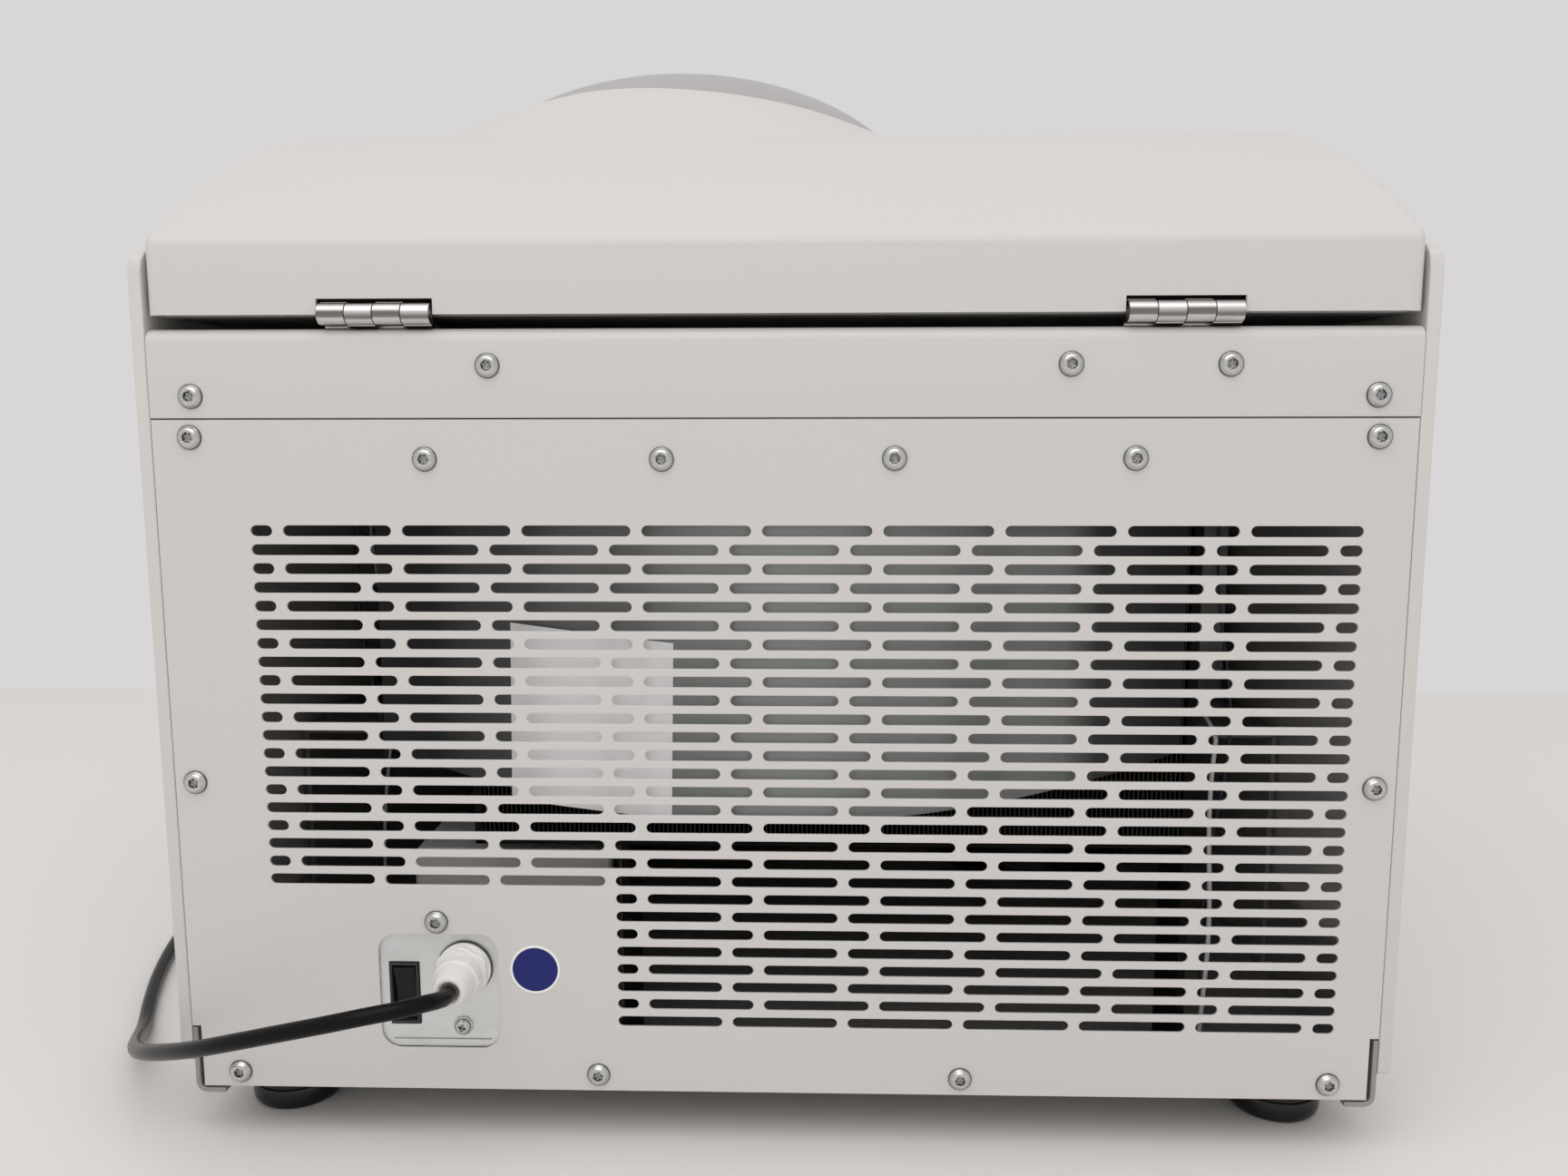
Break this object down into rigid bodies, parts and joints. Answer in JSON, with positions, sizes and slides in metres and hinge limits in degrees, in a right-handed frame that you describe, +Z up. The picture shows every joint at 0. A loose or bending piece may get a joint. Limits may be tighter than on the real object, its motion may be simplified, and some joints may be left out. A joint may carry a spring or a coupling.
{
  "type": "benchtop centrifuge",
  "caption": "Refrigerated benchtop centrifuge with a hinged domed lid, a swing-out rotor, a sloping front console and a slotted rear panel with a mains cord.",
  "frame": {"origin": "on the table under the middle of the case", "axes": "+Z up, +Y towards the slotted rear panel, +X to the left of someone who faces that panel"},
  "size_m": [0.7305, 0.7075, 0.5781],
  "materials": {
    "warm_white": "fine powder coat, slightly warm white",
    "soft_grey": "satin grey coat",
    "liner_grey": "satin",
    "dome_grey": "satin",
    "grey_steel": "satin grey",
    "plate_zinc": "galvanised",
    "bright_steel": "bright",
    "filter_case": "bright",
    "dark_steel": "dark satin",
    "bucket_metal": "anodised",
    "foam": "closed-cell foam",
    "black_rubber": "satin",
    "dark_window": "glossy",
    "green_plastic": "satin",
    "red_plastic": "satin",
    "pale_plastic": "satin",
    "condenser_fins": "dull grey",
    "black_plastic": "satin",
    "black_paint": "gloss black",
    "heat_sink": "extruded",
    "gland_white": "satin warm white",
    "black_cable": "satin black sheath"
  },
  "bodies": {
    "case": {"base_tray": "grey_steel", "foot_front_left": "black_rubber", "foot_front_right": "black_rubber", "foot_rear_left": "black_rubber", "foot_rear_right": "black_rubber", "left_cheek": "warm_white", "right_cheek": "warm_white", "rear_panel": "warm_white", "rear_strip": "warm_white", "deck_plate": "warm_white", "front_cover": "warm_white", "console_panel": "soft_grey", "display_window": "dark_window", "fixed_leaf_left": "bright_steel", "fixed_leaf_right": "bright_steel", "hinge_pin_left": "bright_steel", "hinge_pin_right": "bright_steel", "guard_ring": "grey_steel", "chamber_foam": "foam", "chamber_bowl": "bright_steel", "bridge_plate": "grey_steel", "drive_motor": "dark_steel", "motor_buffer_1": "black_rubber", "motor_buffer_2": "black_rubber", "motor_buffer_3": "black_rubber", "condenser": "condenser_fins", "fan_shroud": "black_plastic", "compressor": "black_paint", "mains_filter": "filter_case", "drive_electronics": "heat_sink", "mains_plate": "plate_zinc", "switch_housing": "black_plastic", "cable_gland": "gland_white", "lock_bracket": "grey_steel", "mains_cord": "black_cable", "cord_coil": "black_cable", "mains_plug": "black_cable"},
    "lid": {"lid_shell": "warm_white", "lid_dome": "dome_grey", "lid_grip": "soft_grey", "lid_liner": "liner_grey", "lid_seal": "black_rubber", "lid_leaf_left": "bright_steel", "lid_leaf_right": "bright_steel", "lid_catch": "bright_steel"},
    "rotor": {"drive_shaft": "bright_steel", "rotor_body": "dark_steel", "rotor_nut": "bright_steel"},
    "bucket_a": {"bucket_1": "bucket_metal"},
    "bucket_b": {"bucket_2": "bucket_metal"},
    "bucket_c": {"bucket_3": "bucket_metal"},
    "bucket_d": {"bucket_4": "bucket_metal"},
    "fan": {"fan_wheel": "black_plastic"},
    "start": {"start_button": "green_plastic"},
    "stop": {"stop_button": "red_plastic"},
    "lid_release": {"lid_button": "pale_plastic"},
    "knob": {"setting_knob": "pale_plastic"},
    "rocker": {"mains_rocker": "black_plastic"},
    "hook": {"lock_hook": "bright_steel"}
  },
  "joints": [
    {"name": "lid_hinge", "type": "hinge", "parent": "case", "child": "lid", "pos_m": [0, 0.3185, 0.3944], "axis": [-1, 0, 0], "range_deg": [0, 78]},
    {"name": "rotor_spin", "type": "hinge", "parent": "case", "child": "rotor", "pos_m": [0.075, -0.022, 0.2957], "axis": [0, 0, 1], "continuous": true},
    {"name": "bucket_1_swing", "type": "hinge", "parent": "rotor", "child": "bucket_a", "pos_m": [0.1635, -0.022, 0.2957], "axis": [0, -1, 0], "range_deg": [0, 90]},
    {"name": "bucket_2_swing", "type": "hinge", "parent": "rotor", "child": "bucket_b", "pos_m": [0.075, 0.0665, 0.2957], "axis": [1, 0, 0], "range_deg": [0, 90]},
    {"name": "bucket_3_swing", "type": "hinge", "parent": "rotor", "child": "bucket_c", "pos_m": [-0.0135, -0.022, 0.2957], "axis": [0, 1, 0], "range_deg": [0, 90]},
    {"name": "bucket_4_swing", "type": "hinge", "parent": "rotor", "child": "bucket_d", "pos_m": [0.075, -0.1105, 0.2957], "axis": [-1, 0, 0], "range_deg": [0, 90]},
    {"name": "fan_spin", "type": "hinge", "parent": "case", "child": "fan", "pos_m": [-0.098, 0.236, 0.221], "axis": [0, 1, 0], "continuous": true},
    {"name": "start_press", "type": "slide", "parent": "case", "child": "start", "axis": [0, 0.8048, -0.5936], "range_m": [0, 0.002], "stiffness_N_per_m": 400, "springref_m": -0.0005},
    {"name": "stop_press", "type": "slide", "parent": "case", "child": "stop", "axis": [0, 0.8048, -0.5936], "range_m": [0, 0.002], "stiffness_N_per_m": 400, "springref_m": -0.0005},
    {"name": "lid_release_press", "type": "slide", "parent": "case", "child": "lid_release", "axis": [0, 0.8048, -0.5936], "range_m": [0, 0.002], "stiffness_N_per_m": 400, "springref_m": -0.0005},
    {"name": "knob_turn", "type": "hinge", "parent": "case", "child": "knob", "pos_m": [0.01, -0.28095, 0.32755], "axis": [0, -0.8048, 0.5936], "continuous": true},
    {"name": "rocker_tilt", "type": "hinge", "parent": "case", "child": "rocker", "pos_m": [0.18015, 0.3156, 0.0733], "axis": [1, 0, 0], "range_deg": [0, 12]},
    {"name": "hook_swing", "type": "hinge", "parent": "case", "child": "hook", "pos_m": [-0.165, -0.188, 0.3431], "axis": [1, 0, 0], "range_deg": [0, 25], "stiffness_Nm_per_rad": 0.05, "springref_deg": -11.46}
  ]
}
